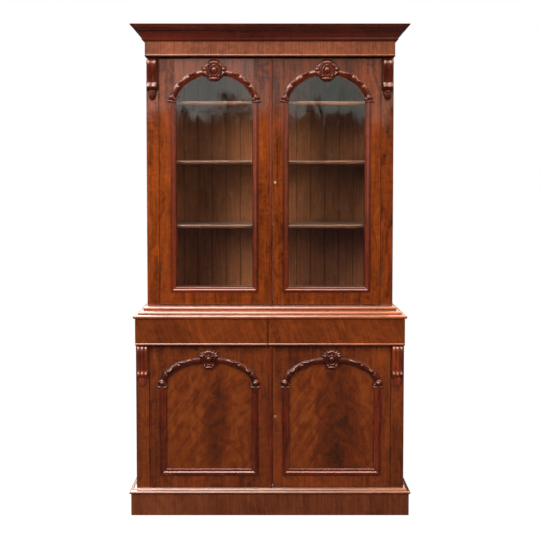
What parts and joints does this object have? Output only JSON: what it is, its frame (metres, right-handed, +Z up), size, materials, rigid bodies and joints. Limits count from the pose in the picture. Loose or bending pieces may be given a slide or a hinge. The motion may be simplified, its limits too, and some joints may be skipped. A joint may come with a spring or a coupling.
{
  "type": "glazed library bookcase",
  "caption": "Bookcase in two stages: arched glazed doors over shelves, a waist with frieze drawers, and a cupboard with arched panelled doors; carved corbels and crests.",
  "frame": {"origin": "on the floor at the middle of the outline seen from above", "axes": "+X to the viewer's right, +Y to the back, +Z up; the doors face -Y"},
  "size_m": [1.352, 0.48, 2.35],
  "materials": {
    "mahogany": "french polish, worn",
    "mahogany_moulding": "french polish, worn",
    "plinth_mahogany": "french polish, worn",
    "flame_veneer": "french polish over flame veneer",
    "carved_mahogany": "french polish, dark in the hollows",
    "inner_wood": "plain, unpolished",
    "glass": "clear, slightly uneven",
    "brass": "tarnished"
  },
  "bodies": {
    "case": {"plinth_frame": "plinth_mahogany", "plinth_moulding": "plinth_mahogany", "base_bottom_rail": "mahogany", "base_side_left": "mahogany", "base_side_right": "mahogany", "base_pilaster_left": "mahogany", "base_pilaster_right": "mahogany", "base_bottom_board": "mahogany", "base_dust_board": "mahogany", "base_shelf": "mahogany", "base_back_boards": "inner_wood", "base_top_board": "mahogany_moulding", "drawer_guides": "inner_wood", "base_corbels": "carved_mahogany", "waist_moulding": "mahogany_moulding", "upper_side_left": "mahogany", "upper_side_right": "mahogany", "upper_pilaster_left": "mahogany", "upper_pilaster_right": "mahogany", "upper_bottom_board": "mahogany", "upper_top_board": "mahogany", "upper_top_rail": "mahogany", "upper_back_boards": "inner_wood", "shelf_lower": "mahogany", "shelf_middle": "mahogany", "shelf_top": "mahogany", "shelf_bearers": "inner_wood", "frieze": "mahogany_moulding", "cornice": "mahogany_moulding", "upper_corbels": "carved_mahogany", "case_hinge_leaves": "brass"},
    "base_left_door": {"base_left_door_frame": "mahogany", "base_left_door_panel": "flame_veneer", "base_left_door_moulding": "mahogany_moulding", "base_left_door_arch": "carved_mahogany", "base_left_door_brassware": "brass"},
    "base_right_door": {"base_right_door_frame": "mahogany", "base_right_door_panel": "flame_veneer", "base_right_door_moulding": "mahogany_moulding", "base_right_door_arch": "carved_mahogany", "base_right_door_brassware": "brass"},
    "upper_left_door": {"upper_left_door_frame": "mahogany", "upper_left_door_glass": "glass", "upper_left_door_moulding": "mahogany_moulding", "upper_left_door_arch": "carved_mahogany", "upper_left_door_brassware": "brass"},
    "upper_right_door": {"upper_right_door_frame": "mahogany", "upper_right_door_glass": "glass", "upper_right_door_moulding": "mahogany_moulding", "upper_right_door_arch": "carved_mahogany", "upper_right_door_brassware": "brass"},
    "left_drawer": {"left_drawer_front": "mahogany", "left_drawer_box": "inner_wood"},
    "right_drawer": {"right_drawer_front": "mahogany", "right_drawer_box": "inner_wood"},
    "upper_lock_bolt": {"upper_lock_bolt": "brass"},
    "base_lock_bolt": {"base_lock_bolt": "brass"},
    "upper_slide_bolt": {"upper_slide_bolt": "brass"},
    "base_slide_bolt": {"base_slide_bolt": "brass"}
  },
  "joints": [
    {"name": "base_left_door_hinge", "type": "hinge", "parent": "case", "child": "base_left_door", "pos_m": [-0.582, -0.21, 0.475], "axis": [0, 0, -1], "range_deg": [0, 97]},
    {"name": "base_right_door_hinge", "type": "hinge", "parent": "case", "child": "base_right_door", "pos_m": [0.582, -0.21, 0.475], "axis": [0, 0, 1], "range_deg": [0, 97]},
    {"name": "upper_left_door_hinge", "type": "hinge", "parent": "case", "child": "upper_left_door", "pos_m": [-0.539, -0.145, 1.6055], "axis": [0, 0, -1], "range_deg": [0, 93]},
    {"name": "upper_right_door_hinge", "type": "hinge", "parent": "case", "child": "upper_right_door", "pos_m": [0.539, -0.145, 1.6055], "axis": [0, 0, 1], "range_deg": [0, 93]},
    {"name": "left_drawer_slide", "type": "slide", "parent": "case", "child": "left_drawer", "axis": [0, -1, 0], "range_m": [0, 0.26]},
    {"name": "right_drawer_slide", "type": "slide", "parent": "case", "child": "right_drawer", "axis": [0, -1, 0], "range_m": [0, 0.26]},
    {"name": "upper_lock_bolt_slide", "type": "slide", "parent": "upper_right_door", "child": "upper_lock_bolt", "axis": [-1, 0, 0], "range_m": [0, 0.006]},
    {"name": "base_lock_bolt_slide", "type": "slide", "parent": "base_right_door", "child": "base_lock_bolt", "axis": [-1, 0, 0], "range_m": [0, 0.006]},
    {"name": "upper_slide_bolt_slide", "type": "slide", "parent": "upper_left_door", "child": "upper_slide_bolt", "axis": [0, 0, -1], "range_m": [0, 0.012]},
    {"name": "base_slide_bolt_slide", "type": "slide", "parent": "base_left_door", "child": "base_slide_bolt", "axis": [0, 0, 1], "range_m": [0, 0.012]}
  ]
}
